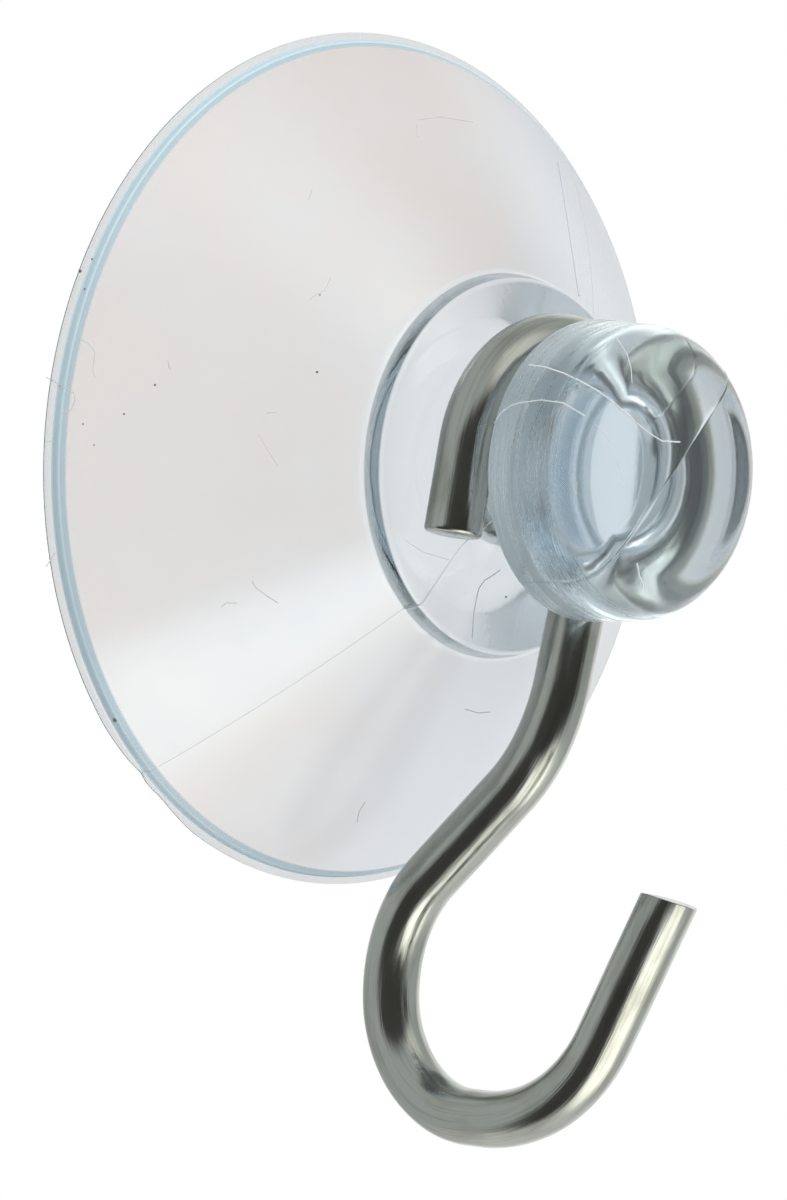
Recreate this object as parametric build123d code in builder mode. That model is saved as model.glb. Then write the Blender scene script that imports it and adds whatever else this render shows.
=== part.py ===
from build123d import *
import math
import os

os.makedirs("parts", exist_ok=True)

# Millimetres. The wall is the plane Y = 0 and carries the lip of the cup, the cup's axis
# is Y, the knob points to -Y and Z is up. Depths are distances from the wall.

# Skirt of the cup, with the thin lip that seals on the wall
lip_radius = 15.0
lip_thickness = 0.15
lip_width = 0.3
sealing_width = 0.6
rim_depth = 0.4
skirt_bulge = 0.25
hollow_depth = 5.7
hollow_floor_radius = 4.4
hollow_floor_fillet = 3.0

# Boss in the middle of the skirt
boss_radius = 6.7
boss_front = 7.75
boss_side = 0.7
boss_draft = 0.2
boss_root_fillet = 0.3
boss_edge_fillet = 0.2

# Waisted neck on the boss, which runs out into the boss and the knob
neck_radius = 2.1
neck_root_fillet = 2.1
neck_knob_fillet = 0.9

# Knob in front of the neck, with a flat face and a round shoulder
knob_back = 11.4
knob_front = 15.2
knob_radius = 5.2
knob_taper = 0.2
knob_back_fillet = 0.25
knob_shoulder = 1.6

# Wire of the hook
wire_diameter = 2.0

# Ring that the wire makes round the neck, open below on one side
ring_radius = 4.36
ring_forward = 0.09
arm_lean = 13.5
arm_length = 3.2

# Closed side of the ring: it turns under the neck into the shank
ring_end = -60.0
under_bend_radius = 2.4
shank_lean = 16.0

# Hook below the ring, as the corners of the bent wire
shank_height = -9.64
brace_clearance = 0.95
brace_height = -16.2
bottom_height = -22.79
bowl_width = 8.35
tip_lean = 31.3
tip_height = -14.55
shank_bend = 5.0
brace_bend = 5.8
bowl_back_bend = 3.9
bowl_flat = 0.6

wire_radius = wire_diameter / 2
ring_plane = (boss_front + knob_back) / 2 + ring_forward
rim_radius = lip_radius - lip_width
boss_back = boss_front - boss_side

# The cup is moulded in one shot: skirt, boss, neck and knob are one turned body
with BuildPart() as suction_cup:
    with BuildSketch(Plane.XY) as section:
        with BuildLine():
            lip = Polyline(
                (0, -hollow_depth),
                (hollow_floor_radius, -hollow_depth),
                (lip_radius - sealing_width, 0),
                (lip_radius, 0),
                (lip_radius, -lip_thickness),
                (rim_radius, -lip_thickness),
                (rim_radius, -rim_depth),
            )
            skirt = SagittaArc(lip @ 1, (boss_radius, -boss_back), -skirt_bulge)
            boss = Polyline(
                skirt @ 1,
                (boss_radius - boss_draft, -boss_front),
                (neck_radius, -boss_front),
                (neck_radius, -knob_back),
                (knob_radius, -knob_back),
                (knob_radius - knob_taper, -knob_front),
                (0, -knob_front),
            )
            Line(boss @ 1, lip @ 0)
        make_face()
        rounded = (
            (hollow_floor_radius, -hollow_depth, hollow_floor_fillet),
            (boss_radius, -boss_back, boss_root_fillet),
            (boss_radius - boss_draft, -boss_front, boss_edge_fillet),
            (neck_radius, -boss_front, neck_root_fillet),
            (neck_radius, -knob_back, neck_knob_fillet),
            (knob_radius, -knob_back, knob_back_fillet),
            (knob_radius - knob_taper, -knob_front, knob_shoulder),
        )
        for radius, height, size in rounded:
            corner = section.vertices().sort_by_distance((radius, height))[0]
            fillet(corner, size)
    revolve(axis=Axis.Y)

suction_cup.part.label = "suction_cup"
export_step(suction_cup.part, "parts/suction_cup.step")

# The hook is one length of wire: ring, shank and bowl. Its course is drawn in the
# plane of the ring: across, height, and how far out from that plane.
with BuildPart() as wire_hook:
    lean = math.radians(arm_lean)
    arm_across = -ring_radius * math.cos(lean)
    arm_height = ring_radius * math.sin(lean)
    cut_across = arm_across - arm_length * math.sin(lean)
    cut_height = arm_height - arm_length * math.cos(lean)

    # The bend under the neck leads from the ring's circle to the lean of the shank
    stop = math.radians(ring_end)
    bend_across = (ring_radius + under_bend_radius) * math.cos(stop)
    bend_height = (ring_radius + under_bend_radius) * math.sin(stop)
    tilt = math.radians(shank_lean)
    shank_across = bend_across - under_bend_radius * math.cos(tilt)
    shank_top = bend_height + under_bend_radius * math.sin(tilt)
    hook_across = shank_across - (shank_top - shank_height) * math.tan(tilt)

    # Outward places of the bowl, and its tip on the leaning front arm
    brace_out = brace_clearance + wire_radius - ring_plane
    front_out = brace_out + bowl_width
    front_turn = math.radians(90 - tip_lean)
    front_bend = (bowl_width - bowl_back_bend - bowl_flat) / math.tan(front_turn / 2)
    reach = (tip_height - bottom_height) * math.tan(math.radians(tip_lean))

    with BuildLine(Plane.XZ.offset(ring_plane)) as course:
        Line((cut_across, cut_height), (arm_across, arm_height))
        CenterArc((0, 0), ring_radius, 180 - arm_lean, ring_end + arm_lean - 180)
        CenterArc(
            (bend_across, bend_height),
            under_bend_radius,
            180 + ring_end,
            -ring_end - shank_lean,
        )
        FilletPolyline(
            (shank_across, shank_top, 0),
            (hook_across, shank_height, 0),
            (hook_across, brace_height, brace_out),
            (hook_across, bottom_height, brace_out),
            (hook_across, bottom_height, front_out),
            (hook_across, tip_height, front_out + reach),
            radius=(shank_bend, brace_bend, bowl_back_bend, front_bend),
        )
    path = course.wire()
    with BuildSketch(Plane(origin=path @ 0, z_dir=path % 0)):
        Circle(wire_radius)
    sweep(path=path)

wire_hook.part.label = "wire_hook"
export_step(wire_hook.part, "parts/wire_hook.step")
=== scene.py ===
"""A clear suction cup with a bent wire hook: its looks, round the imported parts."""

import logging
import math
from dataclasses import dataclass, field
from enum import Enum

import bmesh
import bpy
from mathutils import Matrix, Vector
from mathutils.bvhtree import BVHTree
import numpy as np

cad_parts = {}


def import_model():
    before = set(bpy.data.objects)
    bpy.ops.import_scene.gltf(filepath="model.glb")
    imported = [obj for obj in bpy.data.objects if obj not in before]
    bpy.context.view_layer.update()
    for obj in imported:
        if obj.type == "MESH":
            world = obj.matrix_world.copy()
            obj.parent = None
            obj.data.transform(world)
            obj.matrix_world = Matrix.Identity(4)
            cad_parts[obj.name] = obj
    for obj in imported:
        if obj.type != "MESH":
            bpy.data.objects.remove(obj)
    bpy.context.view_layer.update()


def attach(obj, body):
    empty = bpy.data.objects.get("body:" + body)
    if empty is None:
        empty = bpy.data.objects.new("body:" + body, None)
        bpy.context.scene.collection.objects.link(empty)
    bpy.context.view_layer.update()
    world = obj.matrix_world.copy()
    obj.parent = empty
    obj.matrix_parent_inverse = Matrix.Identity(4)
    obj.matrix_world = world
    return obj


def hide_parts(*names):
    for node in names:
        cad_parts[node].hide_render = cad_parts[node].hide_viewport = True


logging.basicConfig(level=logging.INFO, format="%(message)s")
LOG = logging.getLogger("suction_cup_hook")

Socket = bpy.types.NodeSocket
Tree = bpy.types.NodeTree

MM = 0.001
PICTURE = (787, 1200)

# The cup's axis runs along Y. The wall is the plane Y = 0, and the knob points to -Y.
AXIS = Vector((0.0, 1.0, 0.0))

# The two halves of the cup's mould met in a plane through the axis, this many degrees from
# +X towards +Z.
SEAM_ANGLE = 45.0

# How close two points may lie in millimetres before they count as one.
TOLERANCE = 0.001

# A faceted edge sharper than this, in degrees, isn't shaded smooth.
SHARP_ANGLE = 35

# Noise cells for each line of a drawn pattern: a cell holds a rise and a fall.
CELLS_PER_LINE = 0.5


def linear(hex_colour: str) -> tuple[float, float, float, float]:
    """Turns an sRGB hex colour into the linear colour that a socket takes.

    Args:
        hex_colour: Six hex digits, such as "dfe3e6".

    Returns:
        Red, green, blue and an alpha of one.
    """
    channels = [int(hex_colour[i:i + 2], 16) / 255 for i in (0, 2, 4)]
    curve = [c / 12.92 if c <= 0.04045 else ((c + 0.055) / 1.055) ** 2.4 for c in channels]
    return (*curve, 1.0)


def add_node(tree: Tree, kind: str, settings: dict | None = None, **inputs: object
             ) -> bpy.types.Node:
    """Adds one node, sets its properties and fills or links its sockets.

    Args:
        tree: The node tree that gets the node.
        kind: The node's type, without the leading "ShaderNode".
        settings: Properties of the node, by name.
        **inputs: Socket values or output sockets. A name of the form i0, i1 is an index,
            and any other is the socket's name with underscores for spaces.

    Returns:
        The new node.
    """
    node = tree.nodes.new("ShaderNode" + kind)
    for name, value in (settings or {}).items():
        setattr(node, name, value)
    for name, value in inputs.items():
        by_index = name[0] == "i" and name[1:].isdigit()
        socket = node.inputs[int(name[1:]) if by_index else name.replace("_", " ")]
        if isinstance(value, Socket):
            tree.links.new(value, socket)
        else:
            socket.default_value = value
    return node


def rise(tree: Tree, value: Socket, start: float, end: float) -> Socket:
    """Makes a mask that rises smoothly from 0 at start to 1 at end.

    Args:
        tree: The node tree.
        value: What the mask follows.
        start: Where it is 0.
        end: Where it is 1.

    Returns:
        The mask.
    """
    return add_node(tree, "MapRange", {"interpolation_type": "SMOOTHSTEP"}, Value=value,
                    From_Min=start, From_Max=end).outputs[0]


def shared(tree: Tree, first: Socket, *others: Socket) -> Socket:
    """Keeps what several masks share.

    Args:
        tree: The node tree.
        first: A mask.
        *others: More masks.

    Returns:
        Their product.
    """
    for mask in others:
        first = add_node(tree, "Math", {"operation": "MULTIPLY"}, i0=first, i1=mask).outputs[0]
    return first


def layered(tree: Tree, base: object, *layers: tuple[Socket, object]) -> Socket:
    """Lays colours over one another.

    Args:
        tree: The node tree.
        base: The lowest colour or its socket.
        *layers: Pairs of a mask and the colour or socket that it lets show.

    Returns:
        The mixed colour.
    """
    for share, top in layers:
        base = add_node(tree, "Mix", {"data_type": "RGBA"}, i0=share, i6=base, i7=top).outputs[2]
    return base


def new_material(name: str) -> bpy.types.Material:
    """Makes an empty node material.

    Args:
        name: The material's name.

    Returns:
        A material whose tree has no nodes.
    """
    material = bpy.data.materials.new(name)
    material.use_nodes = True
    material.node_tree.nodes.clear()
    return material


def finished(name: str, mesh: bmesh.types.BMesh, material: bpy.types.Material,
             smooth: bool = True) -> bpy.types.Object:
    """Turns a bmesh into an object at the origin and dresses it.

    Args:
        name: The object's name.
        mesh: The finished bmesh, freed here.
        material: Its material.
        smooth: Whether its faces shade smooth.

    Returns:
        The new object.
    """
    data = bpy.data.meshes.new(name)
    mesh.to_mesh(data)
    mesh.free()
    data.materials.append(material)
    data.polygons.foreach_set("use_smooth", [smooth] * len(data.polygons))
    data.set_sharp_from_angle(angle=math.radians(SHARP_ANGLE))
    piece = bpy.data.objects.new(name, data)
    bpy.context.scene.collection.objects.link(piece)
    LOG.info("%s: %d faces", name, len(data.polygons))
    return piece


@dataclass(frozen=True)
class ClearPvc:
    """Plasticised clear PVC, injection moulded in a machined tool.

    The eye sees water-clear plastic with a blue cast where light runs far inside it. The
    thin skirt is a little milky, and painted light and shade tint it in sectors that run
    out from the boss. Its edge glows pale blue, a glow painted into the colour, and the
    boss's front face carries painted shade. The knob's side keeps the turning marks of the
    tool, worn by handling.
    Lengths are in millimetres and angles in degrees, from +X towards +Z. A pair named for
    where something begins or ends says where its mask is 0 and where it is 1.
    """

    skin: str = "f6f8f9"
    # painted shade: the boss's front face is coloured darker than the rest of the clear skin
    boss_face_shade: str = "e6e9ed"
    depth_colour: str = "a8cfe2"
    depth_per_mm: float = 0.05
    index: float = 1.53
    clarity: float = 0.97
    dish_begins: tuple[float, float] = (6.7, 6.9)
    hollow_begins: tuple[float, float] = (3.4, 6.4)
    # painted glow: the pale blue band and wall at the rim stand in for light that runs along the
    # skirt's edge, and they let less light through
    band_begins: tuple[float, float] = (14.47, 14.55)
    band_glow_colour: str = "b4d0dd"
    band_clarity: float = 0.45
    wall_begins: tuple[float, float] = (14.63, 14.66)
    wall_glow_colour: str = "d2eaf4"
    wall_clarity: float = 0.1
    glow_ends: tuple[float, float] = (14.76, 14.74)
    lip_begins: tuple[float, float] = (14.74, 14.77)
    lip_colour: str = "e9ebec"
    # painted light and shade in the skirt's sectors: the white tone lights one sector and the dull
    # tone shades others; warm, plain and cool tint the rest, and cool also tints the random clouds
    warm: str = "f0e7e3"
    plain: str = "f0ebe8"
    cool: str = "eef1f5"
    sector_light: str = "ffffff"
    dull: str = "e9e6e6"
    clouds_per_mm: float = 0.3
    clouded: tuple[float, float] = (0.4, 0.7)
    cloud_share: float = 0.35
    cone_slope: float = 0.7
    cone_begins: tuple[float, float] = (10.335, 10.435)
    front_begins: tuple[float, float] = (6.2, 6.4)
    # depths where the boss's face gets its painted shade
    face_begins: tuple[float, float] = (7.3, 7.4)
    face_ends: tuple[float, float] = (8.2, 7.8)
    knob_begins: tuple[float, float] = (11.2, 11.4)
    side_begins: tuple[float, float] = (4.6, 5.0)
    side_radius: float = 5.0
    mark_pitch: float = 0.16
    mark_length: float = 6.0
    mark_height: float = 0.03
    mark_strength: float = 0.8
    worn: str = "dfe6ea"
    worn_marks: tuple[float, float] = (0.45, 0.7)
    scuffed_marks: tuple[float, float] = (0.35, 0.65)
    seam_ends: tuple[float, float] = (0.035, 0.0)
    seam_colour: str = "b9bcbb"
    ripples_per_mm: float = 0.9
    ripple_height: float = 0.03
    ripple_strength: float = 0.25
    glossy: float = 0.05
    handled: float = 0.1
    milky: float = 0.22
    scuffed: float = 0.34

    def build(self) -> bpy.types.Material:
        """Makes the material.

        Returns:
            The cup's clear plastic.
        """
        material = new_material("clear moulded PVC")
        tree = material.node_tree
        where = self.places(tree)
        where["marks"] = self.marks(tree, where)
        plastic = add_node(
            tree, "BsdfPrincipled", Base_Color=self.colour(tree, where),
            Roughness=self.finish(tree, where), IOR=self.index,
            Transmission_Weight=self.clearness(tree, where), Normal=self.relief(tree, where),
        )
        depth = add_node(
            tree, "VolumeAbsorption", Color=linear(self.depth_colour),
            Density=self.depth_per_mm / MM,
        )
        add_node(tree, "OutputMaterial", Surface=plastic.outputs[0], Volume=depth.outputs[0])
        return material

    def places(self, tree: Tree) -> dict[str, Socket]:
        """Works out where a point is on the cup.

        Args:
            tree: The material's tree.

        Returns:
            Sockets by name: the point, its radius, depth and turn round the axis, the
            round direction, and masks of the cup's parts.
        """
        place = add_node(tree, "TexCoord").outputs["Object"]
        point = add_node(tree, "VectorMath", {"operation": "SCALE"}, i0=place, Scale=1 / MM)
        parts = add_node(tree, "SeparateXYZ", Vector=point.outputs[0])
        flat = add_node(tree, "VectorMath", {"operation": "MULTIPLY"}, i0=point.outputs[0],
                        i1=(1, 0, 1)).outputs[0]
        radius = add_node(tree, "VectorMath", {"operation": "LENGTH"}, i0=flat).outputs["Value"]
        depth = add_node(tree, "Math", {"operation": "MULTIPLY"}, i0=parts.outputs["Y"],
                         i1=-1.0).outputs[0]
        turn = add_node(tree, "Math", {"operation": "ARCTAN2"}, i0=parts.outputs["Z"],
                        i1=parts.outputs["X"])
        round_way = add_node(tree, "VectorMath", {"operation": "NORMALIZE"}, i0=flat)
        seam = math.radians(SEAM_ANGLE)
        offset = add_node(tree, "VectorMath", {"operation": "DOT_PRODUCT"}, i0=flat,
                          i1=(math.sin(seam), 0, -math.cos(seam)))
        from_seam = add_node(tree, "Math", {"operation": "ABSOLUTE"}, i0=offset.outputs["Value"])
        outside = self.outside(tree, radius, depth)
        inside = rise(tree, outside, 1.0, 0.0)
        dish = shared(tree, outside, rise(tree, radius, *self.dish_begins))
        hollow = shared(tree, inside, rise(tree, radius, *self.hollow_begins))
        skirt = add_node(tree, "Math", {"operation": "MAXIMUM"}, i0=dish, i1=hollow)
        knob = rise(tree, depth, *self.knob_begins)
        return {
            "point": point.outputs[0],
            "radius": radius,
            "depth": depth,
            "turn": turn.outputs[0],
            "round": round_way.outputs[0],
            "skirt": skirt.outputs[0],
            "knob": knob,
            "side": shared(tree, knob, rise(tree, radius, *self.side_begins)),
            "band": shared(tree, outside, rise(tree, radius, *self.band_begins)),
            "wall": shared(tree, outside, rise(tree, radius, *self.wall_begins)),
            "lip": rise(tree, radius, *self.lip_begins),
            "seam": shared(tree, outside, rise(tree, from_seam.outputs[0], *self.seam_ends)),
            "face": shared(tree, rise(tree, depth, *self.face_begins),
                           rise(tree, depth, *self.face_ends)),
        }

    def outside(self, tree: Tree, radius: Socket, depth: Socket) -> Socket:
        """Masks the outside of the cup, apart from its hollow and its sealing face.

        Args:
            tree: The material's tree.
            radius: A point's distance from the axis.
            depth: Its distance from the wall.

        Returns:
            The mask. A cone between the skirt's two sides parts them.
        """
        slope = add_node(tree, "Math", {"operation": "MULTIPLY_ADD"}, i0=radius,
                         i1=self.cone_slope, i2=depth)
        skirt = rise(tree, slope.outputs[0], *self.cone_begins)
        front = rise(tree, depth, *self.front_begins)
        return add_node(tree, "Math", {"operation": "MAXIMUM"}, i0=skirt, i1=front).outputs[0]

    def marks(self, tree: Tree, where: dict[str, Socket]) -> Socket:
        """Draws the fine rings that a lathe leaves in the tool.

        Args:
            tree: The material's tree.
            where: Places on the cup.

        Returns:
            A value round 0.5 that changes quickly across the rings and slowly along them.
        """
        fine = CELLS_PER_LINE / self.mark_pitch
        along = add_node(tree, "VectorMath", {"operation": "SCALE"}, i0=where["round"],
                         Scale=self.side_radius / self.mark_length)
        across = add_node(tree, "CombineXYZ", Y=where["depth"])
        pitch = add_node(tree, "VectorMath", {"operation": "SCALE"}, i0=across.outputs[0],
                         Scale=fine)
        course = add_node(tree, "VectorMath", {"operation": "ADD"}, i0=along.outputs[0],
                          i1=pitch.outputs[0])
        inward = add_node(tree, "Math", {"operation": "MULTIPLY"}, i0=where["radius"], i1=fine)
        return add_node(tree, "TexNoise", {"noise_dimensions": "4D"}, Vector=course.outputs[0],
                        W=inward.outputs[0], Scale=1.0, Detail=4.0, Roughness=0.65
                        ).outputs["Fac"]

    def sectors(self, tree: Tree, turn: Socket) -> Socket:
        """Paints light and shade into the milky skirt in sectors, as the light falls through it:
        lighter sectors where it falls, duller ones beside them.

        Args:
            tree: The material's tree.
            turn: The angle round the axis, in radians.

        Returns:
            The sectors' colour.
        """
        share = add_node(tree, "MapRange", Value=turn, From_Min=-math.pi, From_Max=math.pi)
        node = add_node(tree, "ValToRGB", Fac=share.outputs[0])
        ramp = node.color_ramp
        ramp.interpolation = "B_SPLINE"
        # painted light and shade round the skirt: the angle and tone of each stop
        stops = (
            (-180, self.plain), (-158, self.plain), (-152, self.sector_light), (-136, self.sector_light),
            (-128, self.plain), (-120, self.dull), (-104, self.dull), (-88, self.cool),
            (55, self.cool), (72, self.plain), (82, self.warm), (102, self.warm),
            (116, self.plain), (180, self.plain),
        )
        given = len(ramp.elements)
        for index, (angle, shade) in enumerate(stops):
            position = (angle + 180) / 360
            stop = ramp.elements[index] if index < given else ramp.elements.new(position)
            stop.position = position
            stop.color = linear(shade)
        return node.outputs["Color"]

    def colour(self, tree: Tree, where: dict[str, Socket]) -> Socket:
        """Colours the plastic: clear, with painted shade on the boss's face, milky with painted
        light and shade in sectors on the skirt, and a painted blue glow at its edge.

        Args:
            tree: The material's tree.
            where: Places on the cup.

        Returns:
            The colour.
        """
        low, high = self.clouded
        clouds = add_node(tree, "TexNoise", Vector=where["point"], Scale=self.clouds_per_mm,
                          Detail=3.0)
        drift = add_node(tree, "MapRange", Value=clouds.outputs["Fac"], From_Min=low,
                         From_Max=high, To_Max=self.cloud_share)
        # the milky skirt: painted light and shade in sectors, with random clouds over it
        milk_and_light = layered(tree, self.sectors(tree, where["turn"]),
                       (drift.outputs[0], linear(self.cool)))
        low, high = self.worn_marks
        wear = add_node(tree, "MapRange", Value=where["marks"], From_Min=low, From_Max=high)
        return layered(
            tree, linear(self.skin),
            (where["face"], linear(self.boss_face_shade)),
            (where["skirt"], milk_and_light),
            (where["band"], linear(self.band_glow_colour)),
            (where["wall"], linear(self.wall_glow_colour)),
            (where["lip"], linear(self.lip_colour)),
            (shared(tree, wear.outputs[0], where["side"]), linear(self.worn)),
            (where["seam"], linear(self.seam_colour)),
        )

    def clearness(self, tree: Tree, where: dict[str, Socket]) -> Socket:
        """Gives how much light passes: nearly all, and less at the rim, so that the blue glow
        painted into the colour shows there.

        Args:
            tree: The material's tree.
            where: Places on the cup.

        Returns:
            The transmission weight.
        """
        within = rise(tree, where["radius"], *self.glow_ends)
        clear = add_node(tree, "MapRange", Value=shared(tree, where["band"], within),
                         To_Min=self.clarity, To_Max=self.band_clarity)
        return add_node(tree, "MapRange", Value=shared(tree, where["wall"], within),
                        To_Min=clear.outputs[0], To_Max=self.wall_clarity).outputs[0]

    def finish(self, tree: Tree, where: dict[str, Socket]) -> Socket:
        """Gives the roughness: milky skirt, glossy boss and face, scuffed side.

        Args:
            tree: The material's tree.
            where: Places on the cup.

        Returns:
            The roughness.
        """
        low, high = self.scuffed_marks
        front = add_node(tree, "MapRange", Value=where["knob"], To_Min=self.glossy,
                         To_Max=self.handled)
        base = add_node(tree, "MapRange", Value=where["skirt"], To_Min=front.outputs[0],
                        To_Max=self.milky)
        streaks = add_node(tree, "MapRange", Value=where["marks"], From_Min=low, From_Max=high,
                           To_Max=self.scuffed)
        return add_node(tree, "Math", {"operation": "ADD"}, i0=base.outputs[0],
                        i1=shared(tree, streaks.outputs[0], where["side"])).outputs[0]

    def relief(self, tree: Tree, where: dict[str, Socket]) -> Socket:
        """Adds the uneven skin of the moulding and the turning marks.

        Args:
            tree: The material's tree.
            where: Places on the cup.

        Returns:
            The bent normal.
        """
        ripple = add_node(tree, "TexNoise", Vector=where["point"], Scale=self.ripples_per_mm,
                          Detail=2.0)
        skin = add_node(tree, "Bump", Strength=self.ripple_strength,
                        Distance=self.ripple_height * MM, Height=ripple.outputs["Fac"])
        marks = shared(tree, where["marks"], where["side"])
        return add_node(tree, "Bump", Strength=self.mark_strength,
                        Distance=self.mark_height * MM, Height=marks,
                        Normal=skin.outputs[0]).outputs[0]


@dataclass(frozen=True)
class PlatedWire:
    """Cold-drawn steel wire with a thin dull nickel plating.

    The eye sees a warm grey metal that mirrors the room softly along its length, with
    straight lines from the drawing die and shallow dents from the bending pins. The lines
    are drawn three times as coarse as they are, to show.
    """

    nickel: str = "c5c7c1"
    tarnish: str = "a6a79c"
    groove: str = "86877f"
    roughness: float = 0.12
    streak: float = 0.14
    line_pitch: float = 0.09
    line_length: float = 6.0
    line_height: float = 0.02
    line_strength: float = 0.6
    dull_lines: tuple[float, float] = (0.35, 0.7)
    dark_lines: tuple[float, float] = (0.5, 0.75)
    groove_share: float = 0.4
    dent_width: float = 0.5
    dent_length: float = 1.6
    dent_height: float = 0.05
    dent_strength: float = 0.35
    tarnished_dents: tuple[float, float] = (0.5, 0.75)

    def build(self) -> bpy.types.Material:
        """Makes the material.

        Returns:
            The wire's plated steel.
        """
        material = new_material("nickel plated drawn steel")
        tree = material.node_tree
        across = CELLS_PER_LINE / self.line_pitch
        drawn = self.pattern(tree, (across, across, 1 / self.line_length), 3.0, 0.7)
        across = CELLS_PER_LINE / self.dent_width
        dents = self.pattern(tree, (across, across, CELLS_PER_LINE / self.dent_length), 4.0, 0.5)
        relief = add_node(tree, "Bump", Strength=self.line_strength,
                          Distance=self.line_height * MM, Height=drawn)
        relief = add_node(tree, "Bump", Strength=self.dent_strength,
                          Distance=self.dent_height * MM, Height=dents, Normal=relief.outputs[0])
        low, high = self.dull_lines
        dull = add_node(tree, "MapRange", Value=drawn, From_Min=low, From_Max=high,
                        To_Min=self.roughness, To_Max=self.roughness + self.streak)
        low, high = self.tarnished_dents
        patches = add_node(tree, "MapRange", Value=dents, From_Min=low, From_Max=high)
        low, high = self.dark_lines
        lined = add_node(tree, "MapRange", Value=drawn, From_Min=low, From_Max=high,
                         To_Max=self.groove_share)
        tone = layered(tree, linear(self.nickel), (patches.outputs[0], linear(self.tarnish)),
                       (lined.outputs[0], linear(self.groove)))
        metal = add_node(
            tree, "BsdfPrincipled", Base_Color=tone, Metallic=1.0, Roughness=dull.outputs[0],
            Normal=relief.outputs[0],
        )
        add_node(tree, "OutputMaterial", Surface=metal.outputs[0])
        return material

    @staticmethod
    def pattern(tree: Tree, scale: tuple[float, float, float], detail: float, rough: float
                ) -> Socket:
        """Draws a noise that keeps its place on the wire as it was before bending.

        Args:
            tree: The material's tree.
            scale: Noise cells for each millimetre across the wire, twice, and along it.
            detail: How many finer noises are laid over the first.
            rough: How strong they are.

        Returns:
            A value round 0.5.
        """
        straight = add_node(tree, "Attribute", {"attribute_name": "straight"}).outputs["Vector"]
        place = add_node(tree, "Mapping", Vector=straight, Scale=scale)
        return add_node(tree, "TexNoise", Vector=place.outputs[0], Scale=1.0, Detail=detail,
                        Roughness=rough).outputs["Fac"]


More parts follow.
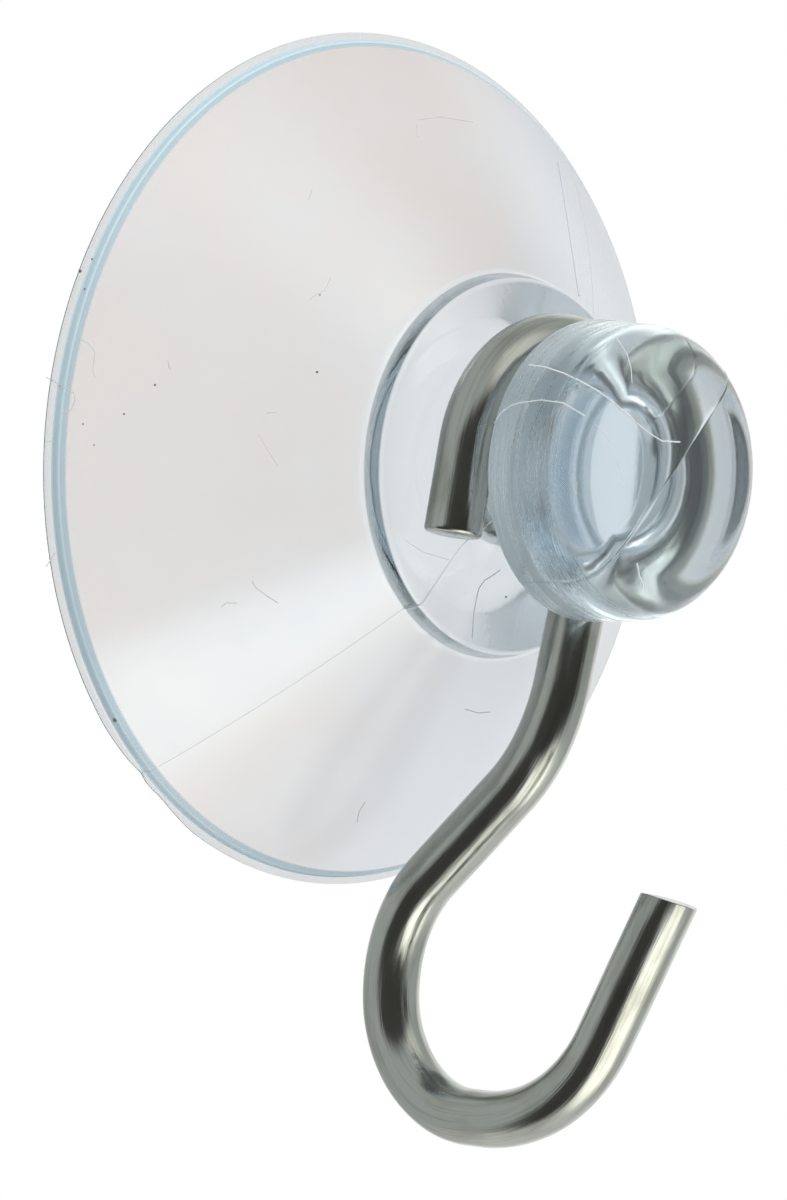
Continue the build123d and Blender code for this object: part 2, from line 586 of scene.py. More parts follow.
@dataclass
class SuctionCup:
    """The moulded cup: skirt, boss, neck and knob, turned about its axis.

    Radii and depths from the wall are in millimetres. The lip's pinch is a list of degrees
    from the parting line's lower end, each with the share of its width that the lip keeps.
    """

    lip_radius: float = 15.0
    lip_thickness: float = 0.15
    lip_edge: float = 0.04
    lip_width: float = 0.3
    sealing_width: float = 0.6
    rim_depth: float = 0.4
    rim_fillet: float = 0.06
    skirt_bulge: float = 0.25
    skirt_runs: int = 12
    hollow_depth: float = 5.7
    hollow_floor_radius: float = 4.4
    hollow_floor_fillet: float = 3.0
    boss_radius: float = 6.7
    boss_front: float = 7.75
    boss_side: float = 0.7
    boss_draft: float = 0.2
    boss_root_fillet: float = 0.3
    boss_edge_fillet: float = 0.2
    neck_radius: float = 2.1
    neck_root_fillet: float = 2.1
    neck_knob_fillet: float = 0.9
    knob_back: float = 11.4
    knob_front: float = 15.2
    knob_radius: float = 5.2
    knob_taper: float = 0.2
    knob_back_fillet: float = 0.25
    knob_shoulder: float = 1.6
    seam_half_width: float = 0.05
    seam_height: float = 0.018
    skirt_seam_height: float = 0.006
    lip_pinch: tuple[tuple[float, float], ...] = (
        (-9.0, 1.0), (-3.5, 0.72), (0.0, 0.36), (2.0, 0.66), (5.0, 0.45), (12.0, 1.0),
    )
    lip_margin: float = 0.01
    hollow_top: float = 7.0
    turns: int = 256
    facet: float = 0.12
    fewest_facets: int = 4

    def skirt(self, share: float) -> tuple[float, float]:
        """Gives a point of the skirt's slightly bulging outside.

        Args:
            share: 0 at the rim, 1 at the foot of the boss.

        Returns:
            Radius and depth in millimetres.
        """
        start = Vector((self.lip_radius - self.lip_width, self.rim_depth))
        end = Vector((self.boss_radius, self.boss_front - self.boss_side))
        chord = end - start
        out = Vector((chord.y, -chord.x)).normalized()
        bulge = 4 * self.skirt_bulge * share * (1 - share)
        point = start + chord * share + out * bulge
        return point.x, point.y

    def outline(self) -> list[tuple[float, float, float]]:
        """Lists the half section from the hollow's centre round to the knob's crown.

        Returns:
            Radius, depth and fillet of each point, in millimetres.
        """
        rim = self.lip_radius - self.lip_width
        side = self.boss_radius - self.boss_draft
        boss_back = self.boss_front - self.boss_side
        points = [
            (0.0, self.hollow_depth, 0.0),
            (self.hollow_floor_radius, self.hollow_depth, self.hollow_floor_fillet),
            (self.lip_radius - self.sealing_width, 0.0, 0.0),
            (self.lip_radius, 0.0, 0.0),
            (self.lip_radius, self.lip_edge, 0.0),
            (rim, self.lip_thickness, 0.0),
            (rim, self.rim_depth, self.rim_fillet),
        ]
        runs = self.skirt_runs
        points += [(*self.skirt(step / runs), 0.0) for step in range(1, runs)]
        points += [
            (self.boss_radius, boss_back, self.boss_root_fillet),
            (side, self.boss_front, self.boss_edge_fillet),
            (self.neck_radius, self.boss_front, self.neck_root_fillet),
            (self.neck_radius, self.knob_back, self.neck_knob_fillet),
            (self.knob_radius, self.knob_back, self.knob_back_fillet),
            (self.knob_radius - self.knob_taper, self.knob_front, self.knob_shoulder),
            (0.0, self.knob_front, 0.0),
        ]
        return points

    def mesh(self) -> bmesh.types.BMesh:
        """Turns the section about the cup's axis.

        Returns:
            The closed cup in metres.
        """
        shape = bmesh.new()
        outline = self.outline()
        chain = [shape.verts.new((r * MM, -d * MM, 0.0)) for r, d, _ in outline]
        for start, end in zip(chain, chain[1:]):
            shape.edges.new((start, end))
        for vertex, (_, _, fillet) in zip(chain, outline):
            if fillet:
                self.round_corner(shape, vertex, fillet)
        bmesh.ops.spin(
            shape, geom=shape.verts[:] + shape.edges[:], cent=(0, 0, 0), axis=AXIS,
            dvec=(0, 0, 0), angle=2 * math.pi, steps=self.turns, use_merge=True,
            use_duplicate=False,
        )
        bmesh.ops.remove_doubles(shape, verts=shape.verts, dist=TOLERANCE * MM)
        bmesh.ops.recalc_face_normals(shape, faces=shape.faces)
        self.pinch_lip(shape)
        self.raise_seam(shape)
        return shape

    def raise_seam(self, shape: bmesh.types.BMesh) -> None:
        """Raises the fine ridge where the two halves of the mould met.

        Args:
            shape: The turned cup.
        """
        turn = math.radians(SEAM_ANGLE)
        across = Vector((math.sin(turn), 0.0, -math.cos(turn)))
        for offset in (-self.seam_half_width, 0.0, self.seam_half_width):
            bmesh.ops.bisect_plane(
                shape, geom=shape.verts[:] + shape.edges[:] + shape.faces[:],
                dist=TOLERANCE / 2 * MM, plane_co=across * offset * MM, plane_no=across,
            )
        shape.normal_update()
        ridge = [v for v in shape.verts if abs(v.co.dot(across)) < TOLERANCE * MM
                 and not self.in_hollow(v) and v.co.y < -2 * self.lip_thickness * MM]
        moves = [(v, v.normal * self.ridge(-v.co.y / MM) * MM) for v in ridge]
        for vertex, move in moves:
            bmesh.ops.translate(shape, vec=move, verts=[vertex])

    def ridge(self, depth: float) -> float:
        """Gives the height of the mould line at a depth from the wall."""
        flat = depth < self.boss_front - self.boss_side
        return self.skirt_seam_height if flat else self.seam_height

    def pinch_lip(self, shape: bmesh.types.BMesh) -> None:
        """Narrows the thin lip round the lower end of the mould's parting line.

        Args:
            shape: The turned cup.
        """
        rim = (self.lip_radius - self.lip_width) * MM
        offsets, shares = zip(*self.lip_pinch)
        for vertex in shape.verts:
            flat = Vector((vertex.co.x, 0.0, vertex.co.z))
            if flat.length < rim + self.lip_margin * MM:
                continue
            turn = math.degrees(math.atan2(flat.z, flat.x)) - SEAM_ANGLE
            from_end = turn % 360 - 180
            share = float(np.interp(from_end, offsets, shares))
            move = flat.normalized() * (rim - flat.length) * (1 - share)
            bmesh.ops.translate(shape, vec=move, verts=[vertex])

    def in_hollow(self, vertex: bmesh.types.BMVert) -> bool:
        """Tells whether a vertex lies on the inner side of the skirt."""
        return vertex.normal.y > 0 and vertex.co.y > -self.hollow_top * MM

    def round_corner(self, shape: bmesh.types.BMesh, vertex: bmesh.types.BMVert, radius: float
                     ) -> None:
        """Rounds one corner of a wire outline.

        Args:
            shape: The bmesh that holds the outline.
            vertex: The corner, with two edges.
            radius: The radius in millimetres.
        """
        ways = [(edge.other_vert(vertex).co - vertex.co).normalized()
                for edge in vertex.link_edges]
        reach = radius * MM / math.tan(ways[0].angle(ways[1]) / 2)
        bmesh.ops.bevel(
            shape, geom=[vertex], offset=reach, offset_type="OFFSET", affect="VERTICES",
            segments=max(self.fewest_facets, round(radius / self.facet)), profile=0.5,
            material=-1,
        )

    def build(self, material: bpy.types.Material) -> bpy.types.Object:
        """Builds the cup in place of its plain solid.

        Args:
            material: Its clear plastic.

        Returns:
            The cup.
        """
        piece = finished("clear_cup", self.mesh(), material)
        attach(piece, "cup")
        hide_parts("suction_cup")
        return piece


@dataclass
class WireHook:
    """The bent wire: ring round the neck, shank, and the bowl with its open tip.

    Sizes are in millimetres. The wire is fed and bent as on a wire bender, and each point
    keeps the place that it had on the straight wire, for the drawn lines. The last five
    fields follow the end of the wire while it is fed.
    """

    wire_diameter: float = 2.0
    ring_radius: float = 4.36
    ring_plane: float = 9.665
    arm_lean: float = 13.5
    arm_length: float = 3.2
    ring_end: float = -60.0
    under_bend_radius: float = 2.4
    shank_lean: float = 16.0
    shank_height: float = -9.64
    brace_clearance: float = 0.95
    brace_height: float = -16.2
    bottom_height: float = -22.79
    bowl_width: float = 8.35
    tip_lean: float = 31.3
    tip_height: float = -14.55
    shank_bend: float = 5.0
    brace_bend: float = 5.8
    bowl_back_bend: float = 3.9
    bowl_flat: float = 0.6
    tip_cut: tuple[float, float, float] = (0.284, -0.15, 0.948)
    tip_piece: float = 1.0
    tip_burr: float = 0.13
    burr_side: tuple[float, float, float] = (0.9, 0.3, 0.0)
    tip_edge: float = 0.05
    arm_edge: float = 0.16
    edge_facets: int = 3
    sides: int = 64
    step: float = 0.22
    fewest_steps: int = 6
    heading: Vector = field(init=False)
    position: Vector = field(init=False)
    fed: float = field(init=False, default=0.0)
    ring: list[bmesh.types.BMEdge] = field(init=False)
    grain: bmesh.types.BMLayerItem = field(init=False)

    def place(self, across: float, height: float, out: float = 0.0) -> Vector:
        """Gives a point from its place across, its height and how far out of the ring's plane."""
        return Vector((across, -(self.ring_plane + out), height))

    def mesh(self) -> bmesh.types.BMesh:
        """Feeds and bends the wire.

        Returns:
            The closed wire in metres.
        """
        shape = bmesh.new()
        self.grain = shape.verts.layers.float_vector.new("straight")
        lean = math.radians(self.arm_lean)
        tilt = math.radians(self.shank_lean)
        stop = math.radians(self.ring_end)
        arm_top = self.place(-self.ring_radius * math.cos(lean),
                             self.ring_radius * math.sin(lean))
        self.heading = Vector((math.sin(lean), 0.0, math.cos(lean)))
        self.position = arm_top - self.heading * self.arm_length
        first = self.start(shape)
        self.feed(shape, self.arm_length)
        self.turn(shape, self.place(0, 0), AXIS, 180 - self.arm_lean - self.ring_end)
        pivot = self.place((self.ring_radius + self.under_bend_radius) * math.cos(stop),
                           (self.ring_radius + self.under_bend_radius) * math.sin(stop))
        self.turn(shape, pivot, -AXIS, -self.ring_end - self.shank_lean)
        across = self.position.x + (self.shank_height - self.position.z) * math.tan(tilt)
        back = self.brace_clearance + self.wire_diameter / 2 - self.ring_plane
        front = back + self.bowl_width
        reach = (self.tip_height - self.bottom_height) * math.tan(math.radians(self.tip_lean))
        front_turn = math.radians(90 - self.tip_lean)
        front_run = self.bowl_width - self.bowl_back_bend - self.bowl_flat
        front_bend = front_run / math.tan(front_turn / 2)
        corners = [
            (self.place(across, self.shank_height), self.shank_bend),
            (self.place(across, self.brace_height, back), self.brace_bend),
            (self.place(across, self.bottom_height, back), self.bowl_back_bend),
            (self.place(across, self.bottom_height, front), front_bend),
            (self.place(across, self.tip_height, front + reach), 0.0),
        ]
        for (corner, radius), (after, _) in zip(corners, corners[1:]):
            self.corner(shape, corner, after, radius)
        self.feed(shape, (corners[-1][0] - self.position).length - self.tip_piece)
        self.feed(shape, self.tip_piece, 1)
        self.shear(shape)
        self.close(shape, self.ring, self.tip_edge)
        self.close(shape, first, self.arm_edge)
        bmesh.ops.scale(shape, vec=(MM, MM, MM), verts=shape.verts)
        bmesh.ops.recalc_face_normals(shape, faces=shape.faces)
        return shape

    def start(self, shape: bmesh.types.BMesh) -> list[bmesh.types.BMEdge]:
        """Starts with the cut end of the straight wire.

        Args:
            shape: The wire's bmesh.

        Returns:
            The edges of the open end.
        """
        made = bmesh.ops.create_circle(shape, cap_ends=False, segments=self.sides,
                                       radius=self.wire_diameter / 2)
        for vertex in made["verts"]:
            vertex[self.grain] = vertex.co
        side = self.heading.to_track_quat("Z", "Y").to_matrix().to_4x4()
        bmesh.ops.transform(shape, matrix=Matrix.Translation(self.position) @ side,
                            verts=made["verts"])
        self.ring = shape.edges[:]
        return self.ring

    def grow(self, shape: bmesh.types.BMesh, length: float) -> list[bmesh.types.BMVert]:
        """Adds one more ring of the wire's skin.

        Args:
            shape: The wire's bmesh.
            length: The length of straight wire that it takes.

        Returns:
            The new ring's vertices, still in the old place.
        """
        made = bmesh.ops.extrude_edge_only(shape, edges=self.ring)["geom"]
        verts = [item for item in made if isinstance(item, bmesh.types.BMVert)]
        fresh = set(verts)
        self.ring = [e for e in made if isinstance(e, bmesh.types.BMEdge)
                     and e.verts[0] in fresh and e.verts[1] in fresh]
        self.fed += length
        for vertex in verts:
            vertex[self.grain] = Vector((*vertex[self.grain][:2], self.fed))
        return verts

    def feed(self, shape: bmesh.types.BMesh, length: float, steps: int = 0) -> None:
        """Feeds the wire straight on.

        Args:
            shape: The wire's bmesh.
            length: How far, in millimetres.
            steps: In how many steps, where it isn't by the usual step.
        """
        steps = steps or max(1, round(length / self.step))
        move = self.heading * (length / steps)
        for _ in range(steps):
            bmesh.ops.translate(shape, vec=move, verts=self.grow(shape, length / steps))
        self.position = self.position + self.heading * length

    def turn(self, shape: bmesh.types.BMesh, pivot: Vector, axis: Vector, degrees: float) -> None:
        """Bends the wire round a pivot.

        Args:
            shape: The wire's bmesh.
            pivot: The centre of the bend.
            axis: The bend's axis, by the right-hand rule.
            degrees: How far round.
        """
        radius = (self.position - pivot).length
        length = math.radians(degrees) * radius
        steps = max(self.fewest_steps, round(length / self.step))
        twist = Matrix.Rotation(math.radians(degrees) / steps, 3, axis)
        for _ in range(steps):
            verts = self.grow(shape, length / steps)
            bmesh.ops.rotate(shape, cent=pivot, matrix=twist, verts=verts)
            self.position = pivot + twist @ (self.position - pivot)
            self.heading = twist @ self.heading

    def corner(self, shape: bmesh.types.BMesh, corner: Vector, after: Vector, radius: float
               ) -> None:
        """Feeds up to a corner and bends round it.

        Args:
            shape: The wire's bmesh.
            corner: Where the two straight runs would meet.
            after: The next corner.
            radius: The radius of the bend.
        """
        way = (after - corner).normalized()
        bend = self.heading.angle(way)
        reach = radius * math.tan(bend / 2)
        self.feed(shape, (corner - self.position).length - reach)
        axis = self.heading.cross(way).normalized()
        inward = axis.cross(self.heading).normalized()
        self.turn(shape, self.position + inward * radius, axis, math.degrees(bend))
        self.heading = way

    def shear(self, shape: bmesh.types.BMesh) -> None:
        """Slants the tip's end to the cutter's plane and pulls up the burr that it left.

        Args:
            shape: The wire's bmesh.
        """
        plane = Vector(self.tip_cut).normalized()
        side = Vector(self.burr_side).normalized()
        for vertex in {v for edge in self.ring for v in edge.verts}:
            off = (vertex.co - self.position).dot(plane) / self.heading.dot(plane)
            burr = self.tip_burr * max(0.0, (vertex.co - self.position).normalized().dot(side))
            bmesh.ops.translate(shape, vec=self.heading * (burr - off), verts=[vertex])

    def close(self, shape: bmesh.types.BMesh, ring: list[bmesh.types.BMEdge], edge: float
              ) -> None:
        """Closes an end of the wire with its cut face and rounds the edge of it.

        Args:
            shape: The wire's bmesh.
            ring: The open end.
            edge: The size of the rounded edge in millimetres.
        """
        face = bmesh.ops.edgeloop_fill(shape, edges=ring)["faces"][0]
        bmesh.ops.bevel(shape, geom=face.edges[:], offset=edge, offset_type="OFFSET",
                        affect="EDGES", segments=self.edge_facets, profile=0.5, material=-1)

    def build(self, material: bpy.types.Material) -> bpy.types.Object:
        """Builds the wire in place of its plain solid.

        Args:
            material: Its plated steel.

        Returns:
            The wire.
        """
        piece = finished("bent_wire", self.mesh(), material)
        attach(piece, "hook")
        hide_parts("wire_hook")
        return piece


class Mark(Enum):
    """What a mark on the cup is. The value names its piece."""

    FIBRE = "lint_fibres"
    GRIT = "dust_grit"
    SCRATCH = "white_scratches"
    # also carries a grey strand painted where a dark refraction edge shows on the boss
    FLOW_AND_REFRACTION = "flow_and_refraction_lines"


@dataclass(frozen=True)
class MarkFinish:
    """The dull surface of lint, grit, scratches, flow lines, and a grey line painted where a dark
    refraction edge shows.

    The eye sees thin matt strands and grains, with no shine of their own.
    """

    kind: Mark
    material: str
    colour: str
    roughness: float = 0.8
    index: float = 1.5

    def build(self) -> bpy.types.Material:
        """Makes the material.

        Returns:
            The marks' dull surface.
        """
        material = new_material(self.material)
        tree = material.node_tree
        dull = add_node(tree, "BsdfPrincipled", Base_Color=linear(self.colour),
                        Roughness=self.roughness, IOR=self.index)
        add_node(tree, "OutputMaterial", Surface=dull.outputs[0])
        return material


@dataclass(frozen=True)
class Strand:
    """One thin mark on the cup, or a grain where its course is a single place.

    The course is given in pixels of the picture, and the width in millimetres.
    """

    kind: Mark
    width: float
    course: tuple[tuple[float, float], ...]


@dataclass
class CupMarks:
    """Lint, grit, scratches, flow lines and a grey line painted for a dark refraction edge, each
    seated on the cup as the camera sees it.
    """

    strands: tuple[Strand, ...] = (
        Strand(Mark.FIBRE, 0.03, ((417, 124), (416, 133), (419, 137))),
        Strand(Mark.FIBRE, 0.03, ((416, 120), (440, 117), (473, 122))),
        Strand(Mark.FIBRE, 0.03, ((312, 190), (309, 200))),
        Strand(Mark.FIBRE, 0.025, ((331, 277), (325, 290), (316, 295), (309, 300))),
        Strand(Mark.FIBRE, 0.04, ((168, 361), (169, 367), (171, 369))),
        Strand(Mark.FIBRE, 0.025, ((79, 339), (88, 343), (95, 352), (93, 371), (95, 378))),
        Strand(Mark.FIBRE, 0.03, (
            (46, 377), (64, 387), (74, 393), (75, 402), (70, 411), (59, 414),
        )),
        Strand(Mark.FIBRE, 0.035, ((266, 413), (277, 412))),
        Strand(Mark.FIBRE, 0.02, ((258, 434), (266, 448), (278, 466))),
        Strand(Mark.FIBRE, 0.02, ((46, 441), (60, 442))),
        Strand(Mark.FIBRE, 0.03, ((46, 567), (55, 553))),
        Strand(Mark.FIBRE, 0.035, ((252, 581), (256, 588), (267, 596), (278, 603))),
        Strand(Mark.FIBRE, 0.03, ((221, 607), (226, 603), (237, 603))),
        Strand(Mark.FIBRE, 0.03, ((365, 802), (359, 812), (357, 822))),
        Strand(Mark.FIBRE, 0.03, ((465, 709), (478, 713), (490, 712))),
        Strand(Mark.FIBRE, 0.03, ((577, 482), (576, 495))),
        Strand(Mark.GRIT, 0.15, ((115, 720),)),
        Strand(Mark.GRIT, 0.09, ((317, 372),)),
        Strand(Mark.GRIT, 0.12, ((80, 271),)),
        Strand(Mark.GRIT, 0.07, ((85, 289),)),
        Strand(Mark.GRIT, 0.07, ((92, 259),)),
        Strand(Mark.GRIT, 0.07, ((124, 414),)),
        Strand(Mark.GRIT, 0.06, ((83, 424),)),
        Strand(Mark.GRIT, 0.06, ((94, 445),)),
        Strand(Mark.GRIT, 0.06, ((320, 295),)),
        Strand(Mark.GRIT, 0.08, ((155, 385),)),
        Strand(Mark.GRIT, 0.08, ((506, 597),)),
        Strand(Mark.SCRATCH, 0.055, (
            (529, 365), (545, 367), (563, 373), (582, 382), (598, 391), (614, 403), (629, 416),
            (640, 426), (649, 433), (662, 441), (680, 442),
        )),
        Strand(Mark.SCRATCH, 0.045, (
            (491, 429), (501, 413), (510, 406), (519, 403), (541, 400), (563, 403), (585, 416),
        )),
        Strand(Mark.SCRATCH, 0.06, ((637, 563), (639, 575), (643, 587))),
        Strand(Mark.SCRATCH, 0.02, ((595, 424), (604, 433), (611, 444))),
        Strand(Mark.SCRATCH, 0.02, ((616, 460), (621, 472), (625, 486))),
        Strand(Mark.SCRATCH, 0.03, ((607, 328), (618, 340), (627, 354), (631, 368), (632, 383))),
        Strand(Mark.SCRATCH, 0.015, ((406, 541), (423, 552), (449, 560))),
        # painted shade: this grey strand stands in for a dark refraction edge on the boss
        Strand(Mark.FLOW_AND_REFRACTION, 0.035, (
            (500, 570), (492, 576), (485, 580), (479, 588), (477, 596), (474, 611), (472, 639),
        )),
        Strand(Mark.FLOW_AND_REFRACTION, 0.06, ((558, 162), (563, 190), (569, 230), (575, 270), (579, 296))),
    )
    finishes: tuple[MarkFinish, ...] = (
        MarkFinish(Mark.FIBRE, "grey lint", "e2e0dd"),
        MarkFinish(Mark.GRIT, "dark grit", "7d7b74"),
        MarkFinish(Mark.SCRATCH, "white scratched PVC", "f6fafb"),
        MarkFinish(Mark.FLOW_AND_REFRACTION, "grey flow and refraction line in PVC", "dde3e8"),
    )
    spacing: float = 4.0
    sides: int = 6
    grain_roundness: int = 2

    def seat(self, skin: BVHTree, studio: "Studio", course: tuple[tuple[float, float], ...]
             ) -> list[Vector]:
        """Drops a course from the camera onto the cup.

        Args:
            skin: The cup's surface.
            studio: The studio, for its camera.
            course: Places in the picture.

        Returns:
            Close points on the cup. Beyond its edge they keep the last distance.
        """
        places = [Vector(course[0])]
        for start, end in zip(course, course[1:]):
            way = Vector(end) - Vector(start)
            steps = max(1, round(way.length / self.spacing))
            places += [Vector(start) + way * step / steps for step in range(1, steps + 1)]
        rays = [studio.ray(*place) for place in places]
        far = [skin.ray_cast(origin, way)[3] for origin, way in rays]
        known = [distance for distance in far if distance is not None]
        last = known[0]
        seated = []
        for (origin, way), distance in zip(rays, far):
            last = distance or last
            seated.append(origin + way * last)
        return seated

    def thread(self, shape: bmesh.types.BMesh, places: list[Vector], radius: float) -> None:
        """Draws a thin closed strand through places.

        Args:
            shape: The bmesh to add to.
            places: The points in metres.
            radius: The strand's radius in metres.
        """
        heading = (places[1] - places[0]).normalized()
        turn = heading.to_track_quat("Z", "Y").to_matrix().to_4x4()
        ring = bmesh.ops.create_circle(shape, segments=self.sides, radius=radius,
                                       matrix=Matrix.Translation(places[0]) @ turn)["verts"]
        edges = list({edge for vertex in ring for edge in vertex.link_edges})
        bmesh.ops.edgeloop_fill(shape, edges=edges)
        for before, after in zip(places, places[1:]):
            way = (after - before).normalized()
            made = bmesh.ops.extrude_edge_only(shape, edges=edges)["geom"]
            verts = [item for item in made if isinstance(item, bmesh.types.BMVert)]
            fresh = set(verts)
            edges = [item for item in made if isinstance(item, bmesh.types.BMEdge)
                     and fresh.issuperset(item.verts)]
            bmesh.ops.rotate(shape, cent=before, verts=verts,
                             matrix=heading.rotation_difference(way).to_matrix())
            bmesh.ops.translate(shape, vec=after - before, verts=verts)
            heading = way
        bmesh.ops.edgeloop_fill(shape, edges=edges)

    def build(self, cup: bpy.types.Object, studio: "Studio") -> None:
        """Builds one piece for each kind of mark.

        Args:
            cup: The finished cup.
            studio: The studio, for its camera.
        """
        skin = BVHTree.FromObject(cup, bpy.context.evaluated_depsgraph_get())
        for finish in self.finishes:
            shape = bmesh.new()
            for strand in self.strands:
                if strand.kind is not finish.kind:
                    continue
                places = self.seat(skin, studio, strand.course)
                radius = strand.width * MM / 2
                if len(places) > 1:
                    self.thread(shape, places, radius)
                else:
                    bmesh.ops.create_icosphere(shape, subdivisions=self.grain_roundness,
                                               radius=radius,
                                               matrix=Matrix.Translation(places[0]))
            bmesh.ops.recalc_face_normals(shape, faces=shape.faces)
            piece = finished(finish.kind.value, shape, finish.build())
            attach(piece, "cup")


@dataclass(frozen=True)
class Softbox:
    """A soft light, placed by degrees to the right of the camera and above the horizon.

    Its distance, width and height are in millimetres. A level of 1 makes its face white.
    """

    name: str
    azimuth: float
    elevation: float
    away: float
    wide: float
    high: float
    level: float


@dataclass(frozen=True)
class Patch:
    """A round patch of light or shade in the room, placed as a softbox is.

    It is full up to one angle from its middle and has faded out at another, in degrees. A
    flattened patch is wider than it is high.
    """

    azimuth: float
    elevation: float
    full: float
    faded: float
    level: tuple[float, float, float]
    flattened: bool = False


@dataclass
class Studio:
    """A pale studio: white surroundings, soft lights, a floor, and the camera.

    The camera's direction and aim were found by fitting it to the photograph, and the
    patches of the room by what its wire mirrors. Lengths are in millimetres.
    """

    azimuth: float = -45.12
    elevation: float = 3.69
    distance: float = 298.7
    aim: tuple[float, float, float] = (0.0, -1.87, -4.89)
    lens: float = 255.15
    sensor: float = 36.0
    nearest: float = 10.0
    softboxes: tuple[Softbox, ...] = (
        Softbox("key_softbox", 62, 44, 400, 190, 240, 1.6),
        Softbox("top_softbox", 20, 68, 400, 320, 260, 2.0),
    )
    backdrop: float = 1.0
    fill: float = 0.65
    room: tuple[float, float, float] = (0.47, 0.5, 0.495)
    table: tuple[float, float, float] = (0.72, 0.73, 0.71)
    table_begins: tuple[float, float] = (-0.45, -0.75)
    flattening: float = 2.2
    patches: tuple[Patch, ...] = (
        Patch(165, 0, 22, 50, (1.0, 1.0, 1.0)),
        Patch(60, 46, 10, 30, (0.85, 0.85, 0.8)),
        Patch(12, 0, 50, 68, (0.06, 0.058, 0.055), True),
        Patch(-52, -38, 22, 36, (0.06, 0.058, 0.055)),
        Patch(38, -62, 16, 32, (2.0, 1.98, 1.83)),
    )
    through_centre: tuple[float, float] = (-4, 4)
    through: tuple[tuple[float, tuple[float, float, float]], ...] = (
        (0.10, (1.0, 1.0, 1.0)),
        (0.22, (0.5, 0.51, 0.515)),
        (0.66, (0.42, 0.4284, 0.4326)),
        (0.82, (0.24, 0.25, 0.26)),
    )
    floor_drop: float = 60.0
    floor_size: float = 3000.0
    floor_fades: tuple[float, float] = (120.0, 220.0)
    paper: float = 0.72

    def way(self, azimuth: float, elevation: float) -> Vector:
        """Gives the direction from the object to a place seen from the camera.

        Args:
            azimuth: Degrees to the right of the camera.
            elevation: Degrees above the horizon.

        Returns:
            A unit vector.
        """
        turn = math.radians(self.azimuth + azimuth)
        rise_angle = math.radians(elevation)
        flat = Vector((math.sin(turn), -math.cos(turn), 0.0)) * math.cos(rise_angle)
        return flat + Vector((0, 0, math.sin(rise_angle)))

    def ray(self, x: float, y: float) -> tuple[Vector, Vector]:
        """Gives the line of sight through a place in the picture.

        Args:
            x: Pixels from the left.
            y: Pixels from the top.

        Returns:
            The camera's place in metres and the direction seen.
        """
        back = self.way(0, self.elevation)
        turn = back.to_track_quat("Z", "Y")
        focal = self.lens / self.sensor * PICTURE[1]
        sight = turn @ Vector((x - PICTURE[0] / 2, PICTURE[1] / 2 - y, -focal))
        return Vector(self.aim) * MM + back * self.distance * MM, sight.normalized()

    def stand(self, item: bpy.types.Object, azimuth: float, elevation: float, away: float
              ) -> None:
        """Stands a camera or a light in its place, turned to the aim.

        Args:
            item: The camera or light.
            azimuth: Degrees to the right of the camera.
            elevation: Degrees above the horizon.
            away: The distance from the aim.
        """
        way = self.way(azimuth, elevation)
        item.location = Vector(self.aim) * MM + way * away * MM
        item.rotation_euler = way.to_track_quat("Z", "Y").to_euler()
        bpy.context.scene.collection.objects.link(item)

    def camera(self) -> None:
        """Sets the camera up."""
        data = bpy.data.cameras.new("camera")
        data.lens = self.lens
        data.sensor_width = self.sensor
        data.clip_start = self.nearest * MM
        camera = bpy.data.objects.new("camera", data)
        self.stand(camera, 0, self.elevation, self.distance)
        bpy.context.scene.camera = camera

    def hang(self, box: Softbox) -> None:
        """Hangs one soft light, which shows in no mirror.

        Args:
            box: Its place, size and level.
        """
        data = bpy.data.lights.new(box.name, "AREA")
        data.shape = "RECTANGLE"
        data.size = box.wide * MM
        data.size_y = box.high * MM
        data.energy = box.level * math.pi * data.size * data.size_y
        light = bpy.data.objects.new(box.name, data)
        light.visible_glossy = False
        self.stand(light, box.azimuth, box.elevation, box.away)

    def toward(self, tree: Tree, view: Socket, azimuth: float, elevation: float) -> Socket:
        """Tells how nearly the view points to a place round the object.

        Args:
            tree: The world's tree.
            view: The direction looked in.
            azimuth: Degrees to the right of the camera.
            elevation: Degrees above the horizon.

        Returns:
            The cosine of the angle between them.
        """
        return add_node(tree, "VectorMath", {"operation": "DOT_PRODUCT"}, i0=view,
                        i1=tuple(self.way(azimuth, elevation))).outputs["Value"]

    def mirrored_room(self, tree: Tree, view: Socket) -> Socket:
        """Paints the room that the wire mirrors: grey sides, a dim camera side, a lit table.

        Args:
            tree: The world's tree.
            view: The direction looked in.

        Returns:
            The colour seen in each direction.
        """
        stretched = add_node(tree, "VectorMath", {"operation": "MULTIPLY"}, i0=view,
                             i1=(1.0, 1.0, self.flattening))
        wide = add_node(tree, "VectorMath", {"operation": "NORMALIZE"}, i0=stretched.outputs[0])
        height = add_node(tree, "SeparateXYZ", Vector=view).outputs["Z"]
        layers = [(rise(tree, height, *self.table_begins), (*self.table, 1.0))]
        for patch in self.patches:
            look = wide.outputs[0] if patch.flattened else view
            near = self.toward(tree, look, patch.azimuth, patch.elevation)
            share = rise(tree, near, math.cos(math.radians(patch.faded)),
                         math.cos(math.radians(patch.full)))
            layers.append((share, (*patch.level, 1.0)))
        return layered(tree, (*self.room, 1.0), *layers)

    def seen_through(self, tree: Tree, view: Socket) -> Socket:
        """Paints what shows through the clear plastic: white behind it, dimmer in front.

        Args:
            tree: The world's tree.
            view: The direction looked in.

        Returns:
            The colour seen in each direction.
        """
        place = add_node(tree, "MapRange", Value=self.toward(tree, view, *self.through_centre),
                         From_Min=-1.0, From_Max=1.0)
        shade = add_node(tree, "ValToRGB", Fac=place.outputs[0])
        shade.color_ramp.interpolation = "EASE"
        stops = shade.color_ramp.elements
        first, *middle, last = self.through
        for stop, (position, level) in zip(stops, (first, last)):
            stop.position = position
            stop.color = (*level, 1.0)
        for position, level in middle:
            stops.new(position).color = (*level, 1.0)
        return shade.outputs["Color"]

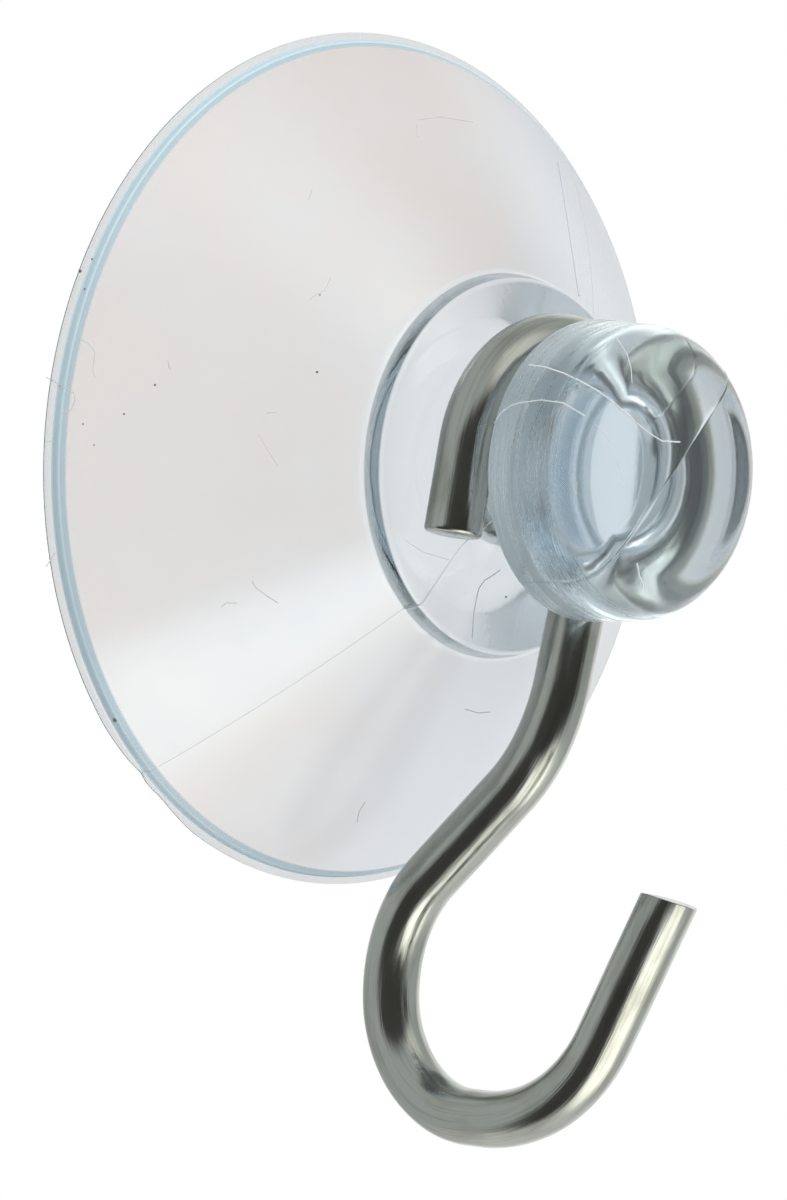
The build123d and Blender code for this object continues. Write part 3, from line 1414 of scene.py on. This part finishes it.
    def world(self) -> None:
        """Lights the surroundings, which differ for what is seen, mirrored and seen through."""
        world = bpy.data.worlds.new("studio")
        bpy.context.scene.world = world
        world.use_nodes = True
        tree = world.node_tree
        tree.nodes.clear()
        ray = add_node(tree, "LightPath")
        view = add_node(tree, "TexCoord").outputs["Generated"]
        white = (1.0, 1.0, 1.0, 1.0)
        light = add_node(tree, "Background", Color=white, Strength=self.fill)
        sides = (
            ("Is Transmission Ray", self.seen_through(tree, view), 1.0),
            ("Is Glossy Ray", self.mirrored_room(tree, view), 1.0),
            ("Is Camera Ray", white, self.backdrop),
        )
        for kind, colour, level in sides:
            side = add_node(tree, "Background", Color=colour, Strength=level)
            light = add_node(tree, "MixShader", Fac=ray.outputs[kind], i1=light.outputs[0],
                             i2=side.outputs[0])
        add_node(tree, "OutputWorld", Surface=light.outputs[0])

    def floor(self) -> None:
        """Lays a plain pale floor, which runs into the white backdrop."""
        shape = bmesh.new()
        bmesh.ops.create_grid(shape, x_segments=1, y_segments=1, size=self.floor_size * MM)
        bmesh.ops.translate(shape, vec=(0, 0, -self.floor_drop * MM), verts=shape.verts)
        material = new_material("white paper floor")
        tree = material.node_tree
        ray = add_node(tree, "LightPath")
        place = add_node(tree, "TexCoord").outputs["Object"]
        away = add_node(tree, "VectorMath", {"operation": "LENGTH"}, i0=place)
        start, end = self.floor_fades
        far = rise(tree, away.outputs["Value"], start * MM, end * MM)
        mirrored = add_node(tree, "Math", {"operation": "MAXIMUM"},
                            i0=ray.outputs["Is Glossy Ray"], i1=ray.outputs["Is Transmission Ray"])
        seen = add_node(tree, "Math", {"operation": "MAXIMUM"}, i0=ray.outputs["Is Camera Ray"],
                        i1=mirrored.outputs[0])
        share = add_node(tree, "Math", {"operation": "MAXIMUM"},
                         i0=shared(tree, seen.outputs[0], far), i1=ray.outputs["Is Glossy Ray"])
        paper = add_node(tree, "BsdfDiffuse", Color=(self.paper, self.paper, self.paper, 1.0))
        glow = add_node(tree, "Emission", Color=(1.0, 1.0, 1.0, 1.0), Strength=self.backdrop)
        clear = add_node(tree, "BsdfTransparent")
        beyond = add_node(tree, "MixShader", Fac=mirrored.outputs[0], i1=glow.outputs[0],
                          i2=clear.outputs[0])
        mix = add_node(tree, "MixShader", Fac=share.outputs[0], i1=paper.outputs[0],
                       i2=beyond.outputs[0])
        add_node(tree, "OutputMaterial", Surface=mix.outputs[0])
        finished("floor", shape, material, smooth=False)

    def build(self) -> None:
        """Sets up everything that isn't the object."""
        self.camera()
        self.world()
        self.floor()
        for box in self.softboxes:
            self.hang(box)
        bpy.context.scene.view_settings.view_transform = "Standard"


def main() -> None:
    """Builds the object and its studio."""
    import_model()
    pvc = ClearPvc().build()
    wire = PlatedWire().build()
    cup = SuctionCup().build(pvc)
    WireHook().build(wire)
    studio = Studio()
    studio.build()
    CupMarks().build(cup, studio)


if __name__ == "__main__":
    main()
